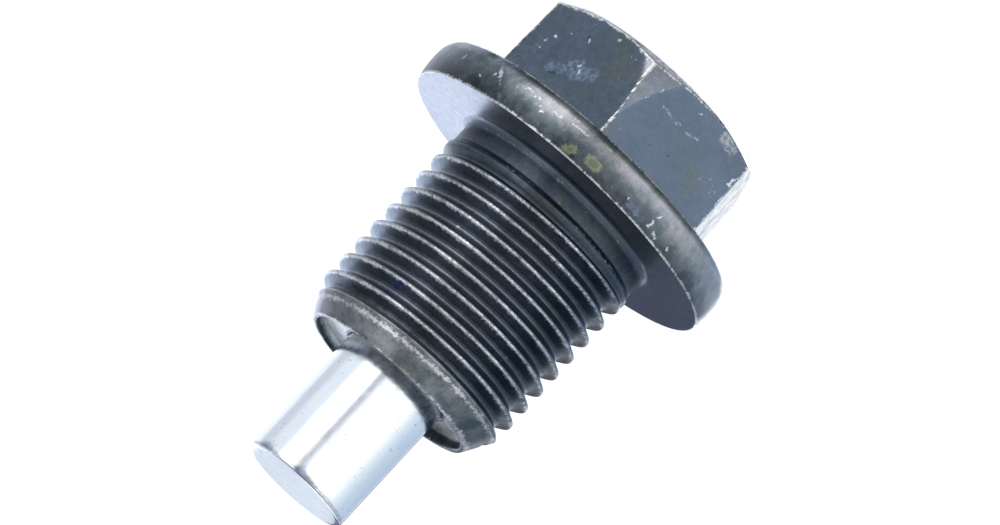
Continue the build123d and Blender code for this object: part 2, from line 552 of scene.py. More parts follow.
@dataclass
class PlugBody:
    """Forged head and rolled shank, one piece of blackened steel."""

    head: HeadSizes = field(default_factory=HeadSizes)
    shank: ShankSizes = field(default_factory=ShankSizes)
    columns_per_flat: int = 60
    corner_crowding: float = 1.5
    facets: tuple[WornFacet, WornFacet] = (
        WornFacet(azimuth=-103.0, length=6.5, depth=0.72),
        WornFacet(azimuth=-74.0, length=4.4, depth=0.50),
    )
    # Patches on the flange's edge: those at -76 and -109 degrees are painted highlights of bared steel, the
    # wide one at -165 is a painted reflection that lightens that end, the one at -20 is darker, and the one
    # at 85 is steel bared by rubbing.
    rubbed_and_painted_light: tuple[SoftPatch, ...] = (
        SoftPatch(azimuth=-76.0, height=8.0, half_turn=15.0, half_height=0.60, bare=0.85),
        SoftPatch(azimuth=-109.0, height=7.9, half_turn=13.0, half_height=0.50, bare=0.45),
        SoftPatch(azimuth=-165.0, height=8.4, half_turn=40.0, half_height=1.60, bare=1.05),
        SoftPatch(azimuth=-20.0, height=8.6, half_turn=20.0, half_height=1.60, bare=-0.30),
        SoftPatch(azimuth=85.0, height=8.3, half_turn=40.0, half_height=0.90, bare=0.45),
    )
    # How much darker each flat of the hexagon is, one value a flat.
    face_darkening: tuple[float, ...] = (0.15, 0.05, 0.20, 0.10, 0.0, 0.26)
    bevel_rubbed: Swell = Swell(azimuth=-52.0, middle=0.0, rise=1.3, low=0.0, high=1.0)
    # Seal face worn bare, with a painted reflection: lighter towards 0 degrees and darker on the far side
    # from it.
    seal_wear_and_sheen: Swell = Swell(azimuth=0.0, middle=0.26, rise=0.62, low=0.04, high=1.0)
    # Painted shade inside the cup: its wall is darkened, most at 90 degrees.
    cup_wall_shade: Swell = Swell(azimuth=-90.0, middle=-0.5, rise=0.45)
    # Painted highlight on the cup's floor, strongest towards 15 degrees.
    cup_sheen: Swell = Swell(azimuth=15.0, middle=-0.4, rise=1.5, low=0.0, high=1.0)
    rim_dents: tuple[Dent, ...] = (
        Dent(azimuth=164.0, height=7.4, width=1.1, depth=0.22),
        Dent(azimuth=150.0, height=7.3, width=0.6, depth=0.12),
        Dent(azimuth=-47.0, height=7.3, width=0.5, depth=0.10),
        Dent(azimuth=20.0, height=9.7, width=0.5, depth=0.10),
        Dent(azimuth=95.0, height=7.4, width=0.7, depth=0.12),
    )
    crest_dents: tuple[Dent, ...] = (
        Dent(azimuth=-112.0, height=17.2, width=0.28, depth=0.10),
        Dent(azimuth=-70.0, height=20.1, width=0.22, depth=0.08),
        Dent(azimuth=-131.0, height=14.4, width=0.25, depth=0.09),
        Dent(azimuth=35.0, height=18.6, width=0.30, depth=0.10),
        Dent(azimuth=140.0, height=21.0, width=0.26, depth=0.10),
    )

    def __post_init__(self) -> None:
        """Work out the heights that follow from the sizes and the frame, and the columns."""
        low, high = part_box("plug_body")
        self.flange_top = low.z / MM + self.head.height
        self.seal_face = self.flange_top + self.head.flange_thickness
        self.thread_low = self.seal_face + self.shank.neck_length
        self.rim = high.z / MM
        self.cup_floor = self.rim - self.shank.cup_depth
        self.bore_floor = self.cup_floor - self.shank.bore_depth
        self.angles = self._columns()
        self.off_corner = np.abs((self.angles + math.pi / 3) % (math.pi / 3) - math.pi / 6)

    def _columns(self) -> np.ndarray:
        """Azimuths of the columns, in radians, rising, crowded at the hexagon's corners."""
        half = self.columns_per_flat // 2
        step = np.arange(-half, half) / half
        sector = np.sign(step) * np.abs(step) ** self.corner_crowding
        corners = np.arange(6)[:, None] * 60 + 30
        return np.sort(np.radians((corners + 30 * sector[None, :]).ravel()) % TURN)

    def flat(self, height: float) -> float:
        """Distance from the axis to a flat of the drafted hexagon, in mm, at a height in mm."""
        draft = (self.flange_top - height) * math.tan(math.radians(self.head.draft))
        return self.head.across_flats / 2 - draft

    def hexagon(self, height: float) -> np.ndarray:
        """Radius of the drafted hexagon with its rounded corners, in mm, at a height in mm."""
        edge_round = self.head.edge_round
        turn = self.off_corner
        flat = self.flat(height)
        corner = (flat - edge_round) / math.cos(math.radians(30))
        straight = flat / np.cos(math.pi / 6 - turn)
        inside = np.maximum(edge_round**2 - (corner * np.sin(turn)) ** 2, 0)
        bend = math.atan2(edge_round / 2, corner + edge_round * math.cos(math.radians(30)))
        return np.where(turn < bend, corner * np.cos(turn) + np.sqrt(inside), straight)

    def head_ring(self, skin: Skin, height: float) -> None:
        """Add one level ring of the hexagon, with its worn corner and edges.

        Args:
            skin: The surface that it is added to.
            height: The ring's height in mm.
        """
        head = self.head
        hexagon = self.hexagon(height)
        corner = self.flat(height) / math.cos(math.radians(30))
        broad, small = (f.reach(self.angles, height, corner, head.worn_azimuth) for f in self.facets)
        cone = head.face_radius + height / math.tan(math.radians(head.chamfer))
        worn = smooth_min(broad, small, 0.02)
        sides = smooth_min(hexagon, worn, head.facet_round)
        radius = smooth_min(sides, np.full_like(sides, cone), head.chamfer_round)
        radius = radius - head.unevenness * (1 + ripple(self.angles, height, 14, 3))
        cut = np.clip((hexagon - worn) / head.facet_round, 0, 1)
        wear = self._head_wear(broad - small, hexagon - worn, sides - cone, cut)
        face = np.round(np.degrees(self.angles) / 60).astype(int) % 6
        # Each flat is darkened by its own amount.
        soot = np.array(self.face_darkening)[face]
        facet_bare = np.where(small < broad, 0.62, 0.30)
        skin.ring(radius, height, wear, facet_bare * cut - soot * (1 - cut))

    def _head_wear(
        self, ridge: np.ndarray, outline: np.ndarray, bevel: np.ndarray, cut: np.ndarray
    ) -> np.ndarray:
        """Give the wear on the head's edges.

        Args:
            ridge: How much the broad facet's radius passes the small one's, in mm.
            outline: How much the hexagon's radius passes the facets', in mm.
            bevel: How much the sides' radius passes the bevel's cone, in mm.
            cut: Share of the facets in the surface, from 0 to 1.

        Returns:
            Wear from 0 to about 1.5.
        """
        right = turn_from(self.angles, self.head.worn_azimuth) > 0
        warm = self.bevel_rubbed.at(self.angles)
        ridge_slope, outline_slope, bevel_slope = 0.42, 0.32, 1.7
        outline_wear = np.where(right & (ridge < 0), 1.55, 0.55)
        edges = (
            0.85 * near(self.off_corner * self.head.across_flats / 2, 0.20) * (1 - cut),
            1.45 * near(ridge / ridge_slope, 0.24) * cut,
            outline_wear * near(outline / outline_slope, 0.20) * (cut > 0),
            (0.62 + 0.55 * warm) * near(bevel / bevel_slope, 0.14 + 0.26 * warm),
            np.where(bevel > 0, 0.30 + 0.45 * warm, 0.0),
        )
        return np.max(np.stack(edges), axis=0)

    def add_head(self, skin: Skin) -> None:
        """Add the head's end, its bevel, its flats and the fillet at their foot."""
        head = self.head
        skin.start(0.0)
        for radius in (1.5, 3.0, 4.5, 6.0, 7.2, 7.8, 7.97):
            skin.ring(radius, 0.0)
        skin.ring(head.face_radius, 0.02, 0.8)
        bevel = np.linspace(0.05, head.chamfer_top, 18)
        flats = np.linspace(head.chamfer_top, self.flange_top - head.foot_round, 20)[1:]
        for height in (*bevel, *flats):
            self.head_ring(skin, float(height))
        foot = self.hexagon(self.flange_top)
        for bend in np.radians((22.5, 45.0, 67.5, 90.0)):
            out = head.foot_round * (1 - math.cos(bend))
            up = head.foot_round * (math.sin(bend) - 1)
            skin.ring(foot - head.unevenness + out, self.flange_top + up)
        self.hexagon_foot = foot + head.foot_round

    def flange_edge(self, up: float) -> float:
        """Give the radius of the flange, with its bevel, its crown and its eased edge.

        Args:
            up: Height over the side of the flange that faces the head, in mm.

        Returns:
            The radius in mm.
        """
        head = self.head
        middle = head.flange_thickness / 2
        bevel = head.flange_radius + (up - head.bevel_height) * head.bevel_width / head.bevel_height
        crown = head.flange_radius - head.flange_crown * ((up - middle) / middle) ** 2
        under = head.flange_thickness - head.ease_height
        ease = head.flange_radius - (up - under) * head.ease_width / head.ease_height
        first = smooth_min(np.array(bevel), np.array(crown), 0.08)
        return float(smooth_min(first, np.array(ease), 0.06))

    def flange_ring(self, skin: Skin, up: float) -> None:
        """Add one level ring of the flange's edge, with its knocks, its patches bared by rubbing and its
        painted highlights.

        Args:
            skin: The surface that it is added to.
            up: Height over the side of the flange that faces the head, in mm.
        """
        head = self.head
        height = self.flange_top + up
        uneven = head.flange_unevenness * (ripple(self.angles, height, 11, 5) - 1)
        knocks = sum(dent.depth_at(self.angles, height, head.flange_radius) for dent in self.rim_dents)
        radius = np.minimum(self.flange_edge(up) + uneven - knocks, head.flange_radius)
        head_side = 1.0 * near(up - 0.03, 0.15)
        bevel_side = 0.4 * near(up - head.bevel_height, 0.2)
        seal_side = near(up - head.flange_thickness + 0.05, 0.2)
        # Bared steel and painted highlights from the patches.
        rubbed_and_painted_light = sum(patch.share(self.angles, height) for patch in self.rubbed_and_painted_light)
        # Painted shade: darker towards the seal face, and a dark band just under the edge's top.
        seal_side_shade = -0.55 * float(np.clip((up - 1.1) / 1.2, 0, 1))
        bevel_shade = 0.35 * float(near(up - 0.22, 0.2))
        bare = np.clip(rubbed_and_painted_light + (seal_side_shade - bevel_shade) + 0.08, -1, 1)
        skin.ring(radius, height, max(head_side, bevel_side, seal_side), bare)

    def add_flange(self, skin: Skin) -> None:
        """Add the flange, from the foot of the hexagon to the start of the neck's fillet."""
        inner = self.flange_edge(0.0) - 0.05
        for share in (0.25, 0.5, 0.75, 0.92, 1.0):
            radius = self.hexagon_foot * (1 - share) + inner * share
            skin.ring(radius, self.flange_top, 0.5 * (share == 1.0), -0.2)
        thick = self.head.flange_thickness
        shares = 0.5 - 0.5 * np.cos(np.linspace(0.12, math.pi - 0.12, 22))
        for up in shares * thick:
            self.flange_ring(skin, float(up))
        fillet_foot = self.shank.neck_radius + self.shank.neck_flare
        outer = self.flange_edge(thick) - 0.04
        # Painted reflection: the seal face is lighter on one side and darker on the other.
        bare = self.seal_wear_and_sheen.at(self.angles)
        for share in (0.0, 0.04, 0.2, 0.45, 0.7, 1.0):
            radius = outer * (1 - share) + fillet_foot * share
            skin.ring(radius, self.seal_face, 0.95 * (share == 0.0), bare)

    def add_neck(self, skin: Skin) -> None:
        """Add the concave fillet at the neck's foot and the plain neck above it."""
        radius = self.shank.neck_radius
        fillet = self.shank.neck_flare
        foot = self.seal_face + fillet
        # Painted highlight: the fillet is lighter where it leaves the seal face, and darker further up.
        for turn in np.radians((2, 20, 40, 60, 80)):
            out = fillet * (1 - math.sin(turn))
            skin.ring(radius + out, self.seal_face + fillet * (1 - math.cos(turn)), 0.0, 0.25 - 0.45 * turn)
        # A lighter line where the fillet meets the neck.
        skin.ring(radius, foot, 0.40, 0.1)
        skin.ring(radius, foot + 0.08, 0.15, 0.0)
        # The neck is darkened, a little less towards the thread.
        for share in (0.18, 0.4, 0.9, 1.0):
            skin.ring(radius, foot * (1 - share) + self.thread_low * share, 0.0, -0.60 + 0.24 * share)

    def add_thread(self, skin: Skin) -> None:
        """Add the thread, its run-out at the neck and its lead-in at the tip."""
        half = (0.09, 0.18, 0.28, 0.46, 0.63, 0.665, 0.70)
        steps = (*(-step for step in reversed(half)), 0.0, *half, self.shank.pitch / 2)
        shape = ThreadShape(self.shank, self.thread_low, self.rim, self.crest_dents)
        turns = math.ceil((self.rim - self.thread_low) / self.shank.pitch) + 4
        rows = [
            shape.centre(self.angles) + turn * self.shank.pitch + step
            for turn in range(-1, turns)
            for step in steps
        ]
        skin.helix(np.array(rows), len(steps), self.thread_low, self.rim, shape)

    def add_tip(self, skin: Skin) -> None:
        """Add the thin rim, the cup inside it and the bore under the magnet, with painted shade on the cup's
        wall and a painted highlight on its floor.
        """
        shank = self.shank
        skin.ring(shank.lead_in_radius - 0.06, self.rim, 0.7)
        # Painted shade: the cup's edge and wall are darkened, the wall most on the far side.
        skin.ring(shank.cup_radius + 0.05, self.rim, 0.35, -0.5)
        wall = self.cup_wall_shade.at(self.angles)
        skin.ring(shank.cup_radius, self.rim - 0.04, 0.4, wall)
        skin.ring(shank.cup_radius - 0.02, self.rim - 0.12, 0.0, wall)
        # Painted highlight: the foot of the cup's wall is painted bright and bare, most towards 15 degrees.
        cup_floor_sheen = 1.4 * self.cup_sheen.at(self.angles)
        for out, up, wear in ((0.07, 0.34, 0.55), (0.05, 0.15, 0.7), (-0.02, 0.04, 0.7)):
            skin.ring(shank.cup_floor_radius + out, self.cup_floor + up, wear * cup_floor_sheen, wall + cup_floor_sheen)
        # Painted highlight: the cup's floor round the magnet is painted bright all round.
        skin.ring(shank.cup_floor_radius - 0.14, self.cup_floor, 1.2, 0.9)
        for radius in (5.4, 4.8, 4.45):
            skin.ring(radius, self.cup_floor, 1.4, 1.0)
        skin.ring(4.18, self.cup_floor)
        skin.ring(4.12, self.cup_floor)
        for height in (self.cup_floor - 0.09, self.cup_floor - 2.5, self.bore_floor):
            skin.ring(shank.bore_radius, height)
        skin.ring(2.0, self.bore_floor)
        skin.close(self.bore_floor)

    def spot(self, azimuth: float, height: float) -> Point:
        """Find a point of the surface.

        Args:
            azimuth: Where it is round the axis, in degrees.
            height: How high it is, in mm.

        Returns:
            Its place in mm.
        """
        angle = math.radians(azimuth)
        if height > self.thread_low:
            shape = ThreadShape(self.shank, self.thread_low, self.rim)
            radius = float(shape.surface(np.array([angle]), np.array([height]))[0][0])
        elif height > self.flange_top:
            radius = self.flange_edge(height - self.flange_top)
        else:
            radius = self.flat(height) / math.cos(math.radians((azimuth + 30) % 60 - 30))
        return radius * math.cos(angle), radius * math.sin(angle), height

    def build(self) -> bpy.types.Object:
        """Build the whole body as one closed mesh object, still without a finish."""
        skin = Skin(self.angles)
        self.add_head(skin)
        self.add_flange(skin)
        self.add_neck(skin)
        self.add_thread(skin)
        self.add_tip(skin)
        return skin.build("plug_body_dressed")


@dataclass
class BarMagnet:
    """Round bar magnet that stands out of the tip."""

    radius: float = 4.0
    edge_round: float = 0.28
    chip_depth: float = 0.02
    columns: int = 256
    smudges: tuple[SoftPatch, ...] = (
        SoftPatch(azimuth=-102.0, height=35.6, half_turn=21.0, half_height=0.32, bare=1.2),
        SoftPatch(azimuth=-92.0, height=35.3, half_turn=7.0, half_height=0.80, bare=0.8),
        SoftPatch(azimuth=-46.0, height=35.5, half_turn=14.0, half_height=0.55, bare=1.2),
        SoftPatch(azimuth=-146.0, height=30.1, half_turn=5.0, half_height=0.22, bare=0.9),
        SoftPatch(azimuth=60.0, height=35.6, half_turn=25.0, half_height=0.35, bare=0.9),
    )

    def smudged(self, angles: np.ndarray, height: float) -> np.ndarray:
        """Say how smudged the bar is at each angle, in radians, at a height in mm."""
        return sum(smudge.share(angles, height) for smudge in self.smudges)

    def build(self) -> bpy.types.Object:
        """Build the bar as a turned mesh with rounded edges and a few chips at its top."""
        low, high = (corner.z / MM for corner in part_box("magnet"))
        angles = np.linspace(0, TURN, self.columns, endpoint=False)
        skin = Skin(angles)
        skin.start(low)
        edge = self.edge_round
        flat = self.radius - edge
        for share in (0.5, 0.85, 1.0):
            skin.ring(flat * share, low)
        bends = np.radians((15, 30, 45, 60, 75, 90))
        for bend in bends:
            skin.ring(flat + edge * math.sin(bend), low + edge * (1 - math.cos(bend)))
        for height in np.linspace(low + edge, high - edge, 80)[1:]:
            skin.ring(self.radius, float(height), 0.0, self.smudged(angles, float(height)))
        chips = self.chip_depth * np.clip(ripple(angles, 0.0, 24, 8), 0, 1)
        for bend in bends:
            out = flat + edge * math.cos(bend) - chips
            height = high - edge * (1 - math.sin(bend))
            skin.ring(out, height, 0.35, self.smudged(angles, height) * math.cos(bend))
        for share in (0.96, 0.85, 0.6, 0.3):
            skin.ring(flat * share, high)
        skin.close(high)
        return skin.build("magnet_dressed")


class Nodes:
    """Node tree that is filled by short calls."""

    def __init__(self, tree: bpy.types.NodeTree) -> None:
        """Take a tree and empty it."""
        self.tree = tree
        self.tree.nodes.clear()

    def add(
        self, kind: str, inputs: dict[int | str, object] | None = None, **settings: object
    ) -> bpy.types.Node:
        """Add a node, set it up and feed its inputs.

        Args:
            kind: Blender's name for the node, without the leading "ShaderNode".
            inputs: What goes into each input, by number or name: a socket to link to it, or a
                number, vector or colour to set.
            settings: Properties of the node itself.

        Returns:
            The new node.
        """
        node = self.tree.nodes.new("ShaderNode" + kind)
        for name, value in settings.items():
            setattr(node, name, value)
        for key, value in (inputs or {}).items():
            if isinstance(value, bpy.types.NodeSocket):
                self.tree.links.new(value, node.inputs[key])
            else:
                node.inputs[key].default_value = value
        return node


class Sheet(Nodes):
    """Node tree of one material, with short calls for the nodes that the finishes use."""

    def __init__(self, name: str) -> None:
        """Make a material with the object's coordinates in mm.

        Args:
            name: The material's name.
        """
        self.material = bpy.data.materials.new(name)
        self.material.use_nodes = True
        super().__init__(self.material.node_tree)
        place = self.add("TexCoord").outputs["Object"]
        self.place = self.vector("MULTIPLY", place, (1 / MM,) * 3)

    def vector(self, operation: str, first: object, second: object) -> bpy.types.NodeSocket:
        """Do vector maths.

        Args:
            operation: Blender's name for the operation.
            first: A socket or three numbers.
            second: Likewise, or one number for a scale.

        Returns:
            The result, as a number for a distance or a dot product.
        """
        key = "Scale" if operation == "SCALE" else 1
        node = self.add("VectorMath", {0: first, key: second}, operation=operation)
        return node.outputs["Value" if operation in ("DOT_PRODUCT", "DISTANCE") else "Vector"]

    def maths(
        self, operation: str, first: object, second: object = 0.0, clamp: bool = False
    ) -> bpy.types.NodeSocket:
        """Do maths on numbers.

        Args:
            operation: Blender's name for the operation.
            first: A socket or a number.
            second: Likewise.
            clamp: Whether the result is kept from 0 to 1.

        Returns:
            The result.
        """
        return self.add("Math", {0: first, 1: second}, operation=operation, use_clamp=clamp).outputs[0]

    def plus(self, first: object, second: object) -> bpy.types.NodeSocket:
        """Add two numbers or sockets."""
        return self.maths("ADD", first, second)

    def times(self, first: object, second: object, clamp: bool = False) -> bpy.types.NodeSocket:
        """Multiply two numbers or sockets, and keep the result from 0 to 1 if asked."""
        return self.maths("MULTIPLY", first, second, clamp)

    def noise(
        self, scale: float, detail: float = 3.0, roughness: float = 0.5, output: str | int = 0
    ) -> bpy.types.NodeSocket:
        """Make noise from about 0 to 1.

        Args:
            scale: Swells in a millimetre.
            detail: How many finer layers it has.
            roughness: How strong the finer layers are.
            output: 0 for one number, or "Color" for three.

        Returns:
            The noise.
        """
        inputs = {"Vector": self.place, "Scale": scale, "Detail": detail, "Roughness": roughness}
        return self.add("TexNoise", inputs).outputs[output]

    def centred(self, scale: float, detail: float, roughness: float) -> bpy.types.NodeSocket:
        """Make noise as above, but from about -0.5 to 0.5."""
        return self.maths("SUBTRACT", self.noise(scale, detail, roughness), 0.5)

    def between(
        self, value: object, low: float, high: float, start: float = 0.0, end: float = 1.0
    ) -> bpy.types.NodeSocket:
        """Step smoothly from one value to another.

        Args:
            value: The number that drives the step.
            low: Where the step begins.
            high: Where it ends.
            start: The result below the step.
            end: The result above it.

        Returns:
            The stepped value.
        """
        inputs = {"Value": value, "From Min": low, "From Max": high, "To Min": start, "To Max": end}
        return self.add("MapRange", inputs, interpolation_type="SMOOTHSTEP").outputs[0]

    def blend(self, share: object, first: object, second: object) -> bpy.types.NodeSocket:
        """Mix two colours.

        Args:
            share: How much of the second, from 0 to 1.
            first: A colour or a socket.
            second: Likewise.

        Returns:
            The mixed colour.
        """
        first, second = ((*c, 1.0) if isinstance(c, tuple) else c for c in (first, second))
        return self.add("Mix", {0: share, 6: first, 7: second}, data_type="RGBA").outputs[2]

    def height(self) -> bpy.types.NodeSocket:
        """Give the height over the head's end, in mm."""
        return self.add("SeparateXYZ", {0: self.place}).outputs["Z"]

    def attribute(self, name: str) -> bpy.types.NodeSocket:
        """Read a number that the mesh carries at its points, by its name."""
        return self.add("Attribute", attribute_name=name).outputs["Fac"]

    def capsule(
        self, start: Vector, end: Vector, width: float, at: bpy.types.NodeSocket
    ) -> bpy.types.NodeSocket:
        """Make the mask of one mark.

        Args:
            start: Where the mark starts, in mm.
            end: Where it ends, in mm.
            width: How far it reaches from that line, in mm.
            at: Coordinates in mm, shaken a little so that the mark's edge is ragged.

        Returns:
            1 in the middle of the mark, falling to 0 at its width.
        """
        line = end - start
        shortest = 1e-6
        full_share = 0.45
        away = self.vector("SUBTRACT", at, tuple(start))
        along = self.vector("DOT_PRODUCT", away, tuple(line / max(line.length_squared, shortest)))
        along = self.maths("MAXIMUM", self.maths("MINIMUM", along, 1.0), 0.0)
        distance = self.vector("DISTANCE", away, self.vector("SCALE", tuple(line), along))
        return self.between(distance, width * full_share, width, 1.0, 0.0)

    def shader(self, colour: object, roughness: object, height: object, depth: float) -> bpy.types.Material:
        """Close the tree with the shader of a metal and a bump.

        Args:
            colour: Base colour socket.
            roughness: Socket or number.
            height: Height socket for the bump, from 0 to 1.
            depth: What a height of 1 stands for, in mm.

        Returns:
            The finished material.
        """
        bump = self.add("Bump", {"Distance": depth * MM, "Strength": 1.0, "Height": height})
        inputs = {
            "Base Color": colour,
            "Metallic": 1.0,
            "Roughness": roughness,
            "Normal": bump.outputs["Normal"],
        }
        metal = self.add("BsdfPrincipled", inputs)
        self.add("OutputMaterial", {"Surface": metal.outputs[0]})
        return self.material


@dataclass(frozen=True)
class Tone:
    """Colour of a kind of mark, how strongly it covers, and whether it is broken up."""

    colour: Colour
    strength: float
    broken: bool = False


class MarkKind(Enum):
    """The kinds of mark that the photograph shows on the steel, the lowest layer first."""

    SCUFF = Tone((0.17, 0.22, 0.30), 0.75, broken=True)
    STAIN = Tone((0.27, 0.31, 0.21), 0.80)
    STAIN_MIDDLE = Tone((0.13, 0.155, 0.105), 0.70)
    LIME = Tone((0.36, 0.39, 0.38), 0.75, broken=True)
    PIT = Tone((0.04, 0.05, 0.06), 0.8)
    PAINT = Tone((0.10, 0.16, 0.90), 0.9)
    SPECK = Tone((0.60, 0.66, 0.72), 0.8)
    SCRATCH = Tone((0.34, 0.38, 0.44), 0.6, broken=True)


@dataclass(frozen=True)
class Mark:
    """One mark on the steel: a line between two azimuths and heights, of some width in mm."""

    start: tuple[float, float]
    end: tuple[float, float]
    width: float


@dataclass(frozen=True)
class BlackenedSteel:
    """Black oxide on forged and rolled steel, worn bright on its edges and crests, with painted highlights
    and painted shade carried in the mesh's states.
    """

    body: PlugBody
    marks: dict[MarkKind, tuple[Mark, ...]]
    slate: Colour = (0.100, 0.132, 0.168)
    blue: Colour = (0.116, 0.148, 0.200)
    olive: Colour = (0.116, 0.136, 0.118)
    # Colour of burnished steel, also laid on as painted highlights.
    burnished_and_sheen: Colour = (0.385, 0.385, 0.405)
    bright: Colour = (0.66, 0.68, 0.70)
    tarnish: Colour = (0.50, 0.51, 0.42)
    # Colour of soot, also laid on as painted shade.
    soot: Colour = (0.016, 0.021, 0.030)
    shake: float = 0.55
    relief: float = 0.014

    def build(self) -> bpy.types.Material:
        """Build the steel's node material."""
        sheet = Sheet("blackened_steel")
        fine = sheet.noise(9.0, 4.0, 0.6)
        colour = self._marked(sheet, self._blackening(sheet, fine))
        grain = sheet.times(sheet.centred(5.0, 4.0, 0.7), 2.0)
        patches = sheet.times(sheet.centred(1.1, 3.0, 0.6), 1.2)
        wear = sheet.plus(sheet.attribute("wear"), sheet.plus(grain, patches))
        tarnished = sheet.between(sheet.noise(0.6), 0.52, 0.68, 0.0, 0.8)
        metal = sheet.blend(tarnished, self.bright, self.tarnish)
        # Worn edges and crests, and painted highlights, take the bright metal's colour.
        colour = sheet.blend(sheet.times(sheet.between(wear, 0.45, 1.05), 0.95), colour, metal)
        rough = sheet.between(sheet.noise(1.6, 4.0, 0.6), 0.3, 0.75, 0.26, 0.36)
        over_bare = sheet.maths("SUBTRACT", sheet.attribute("bare"), 1.0, clamp=True)
        rough = sheet.plus(rough, sheet.times(over_bare, 0.5))
        height = sheet.plus(sheet.noise(1.1), sheet.times(fine, 0.30))
        return sheet.shader(colour, rough, height, self.relief)

    def _blackening(self, sheet: Sheet, fine: bpy.types.NodeSocket) -> bpy.types.NodeSocket:
        """Colour the oxide, with its bare and polished places, painted highlights and painted shade, and
        fine light specks in it.

        Args:
            sheet: The material's tree.
            fine: Fine noise.

        Returns:
            The colour.
        """
        colour = sheet.blend(sheet.between(sheet.noise(0.4), 0.35, 0.68), self.slate, self.blue)
        height = sheet.height()
        flange = sheet.times(sheet.between(height, 7.0, 7.3), sheet.between(height, 9.7, 9.95, 1.0, 0.0))
        tip = sheet.between(height, 23.8, 24.6)
        dirty = sheet.maths("MAXIMUM", flange, tip)
        cast = sheet.between(sheet.noise(0.33, 3.0, 0.6), 0.50, 0.75, 0.0, 0.7)
        cast = sheet.maths("MAXIMUM", cast, sheet.times(dirty, 0.45))
        colour = sheet.blend(cast, colour, self.olive)
        colour = sheet.blend(sheet.between(fine, 0.42, 0.75, 0.0, 0.22), colour, self.soot)
        own = sheet.attribute("bare")
        depth = sheet.plus(sheet.maths("MINIMUM", sheet.maths("ABSOLUTE", own), 0.35), 0.08)
        uneven = sheet.times(sheet.centred(1.9, 5.0, 0.7), sheet.times(depth, 2.2))
        blotch = sheet.between(sheet.noise(0.8, 5.0, 0.65), 0.38, 0.62, -0.5, 0.5)
        state = sheet.plus(sheet.plus(own, uneven), sheet.times(sheet.times(dirty, 0.42), blotch))
        # Soot and painted shade where the state is below 0; bare steel and painted highlights where it is
        # above.
        colour = sheet.blend(sheet.times(state, -1.0, clamp=True), colour, self.soot)
        bare = sheet.times(state, sheet.between(fine, 0.25, 0.7, 1.0, 0.75), clamp=True)
        colour = sheet.blend(bare, colour, self.burnished_and_sheen)
        flecks = sheet.between(sheet.noise(5.5, 2.0), 0.70, 0.76)
        flecks = sheet.times(flecks, sheet.between(sheet.noise(0.4, 2.0), 0.45, 0.60))
        return sheet.blend(sheet.times(flecks, 0.5), colour, self.bright)

    def _marked(self, sheet: Sheet, colour: bpy.types.NodeSocket) -> bpy.types.NodeSocket:
        """Lay the marks over a colour, one kind over another.

        Args:
            sheet: The material's tree.
            colour: The colour under them.

        Returns:
            The colour with the marks.
        """
        centred = sheet.vector("SUBTRACT", sheet.noise(4.0, 4.0, output="Color"), (0.5, 0.5, 0.5))
        shaken = sheet.vector("ADD", sheet.place, sheet.vector("SCALE", centred, self.shake))
        gaps = sheet.between(sheet.noise(3.4, 4.0, 0.7), 0.38, 0.58)
        for kind in MarkKind:
            total: object = 0.0
            for mark in self.marks[kind]:
                start, end = (Vector(self.body.spot(*place)) for place in (mark.start, mark.end))
                total = sheet.maths("MAXIMUM", sheet.capsule(start, end, mark.width, shaken), total)
            if kind.value.broken:
                total = sheet.times(total, gaps)
            colour = sheet.blend(sheet.times(total, kind.value.strength), colour, kind.value.colour)
        return colour


@dataclass(frozen=True)
class PlatedMagnet:
    """Bright plating with faint specks and a little soot on its end."""

    plating: Colour = (0.85, 0.89, 0.93)
    hazed: Colour = (0.74, 0.78, 0.88)
    soot: Colour = (0.20, 0.25, 0.38)
    relief: float = 0.006

    def build(self) -> bpy.types.Material:
        """Build the magnet's node material."""
        sheet = Sheet("plated_magnet")
        haze = sheet.between(sheet.noise(0.8, 4.0, 0.6), 0.45, 0.8, 0.0, 0.5)
        colour = sheet.blend(haze, self.plating, self.hazed)
        specks = sheet.between(sheet.noise(4.0, 2.0), 0.68, 0.75)
        colour = sheet.blend(sheet.times(specks, 0.6), colour, self.soot)
        chipped = sheet.between(sheet.noise(1.3, 4.0, 0.7), 0.5, 0.62)
        rim = sheet.times(sheet.attribute("wear"), chipped)
        colour = sheet.blend(sheet.times(rim, 0.8, clamp=True), colour, self.soot)
        grime = sheet.plus(sheet.attribute("bare"), sheet.times(sheet.centred(2.4, 4.0, 0.7), 1.2))
        colour = sheet.blend(sheet.between(grime, 0.45, 1.15, 0.0, 0.75), colour, self.soot)
        rough = sheet.between(sheet.noise(1.2, 4.0, 0.6), 0.3, 0.8, 0.13, 0.24)
        return sheet.shader(colour, rough, sheet.noise(1.5), self.relief)


@dataclass(frozen=True)
class Viewpoint:
    """Camera of the photograph, in metres and degrees."""

    target_height: float = 0.01552
    distance: float = 0.8
    azimuth: float = -6.0
    elevation: float = 11.8
    focal_length: float = 440.6
    roll_cos: float = -0.734
    roll_sin: float = 0.679

    def axes(self) -> tuple[Vector, Vector, Vector]:
        """Give the camera's right, up and back, before it is rolled."""
        a, e = math.radians(self.azimuth), math.radians(self.elevation)
        back = Vector((math.sin(a) * math.cos(e), -math.cos(a) * math.cos(e), math.sin(e)))
        right = Vector((math.cos(a), math.sin(a), 0))
        return right, back.cross(right), back

    def build(self) -> None:
        """Add the camera, rolled so that the plug hangs head up to the right."""
        right, up, back = self.axes()
        across = self.roll_cos * right - self.roll_sin * up
        over = self.roll_sin * right + self.roll_cos * up
        data = bpy.data.cameras.new("camera")
        data.lens = self.focal_length
        data.sensor_width = 36.0
        data.clip_end = 10.0
        camera = bpy.data.objects.new("camera", data)
        camera.matrix_world = Matrix((across, over, back)).transposed().to_4x4()
        camera.location = Vector((0, 0, self.target_height)) + back * self.distance
        bpy.context.scene.collection.objects.link(camera)
        bpy.context.scene.camera = camera


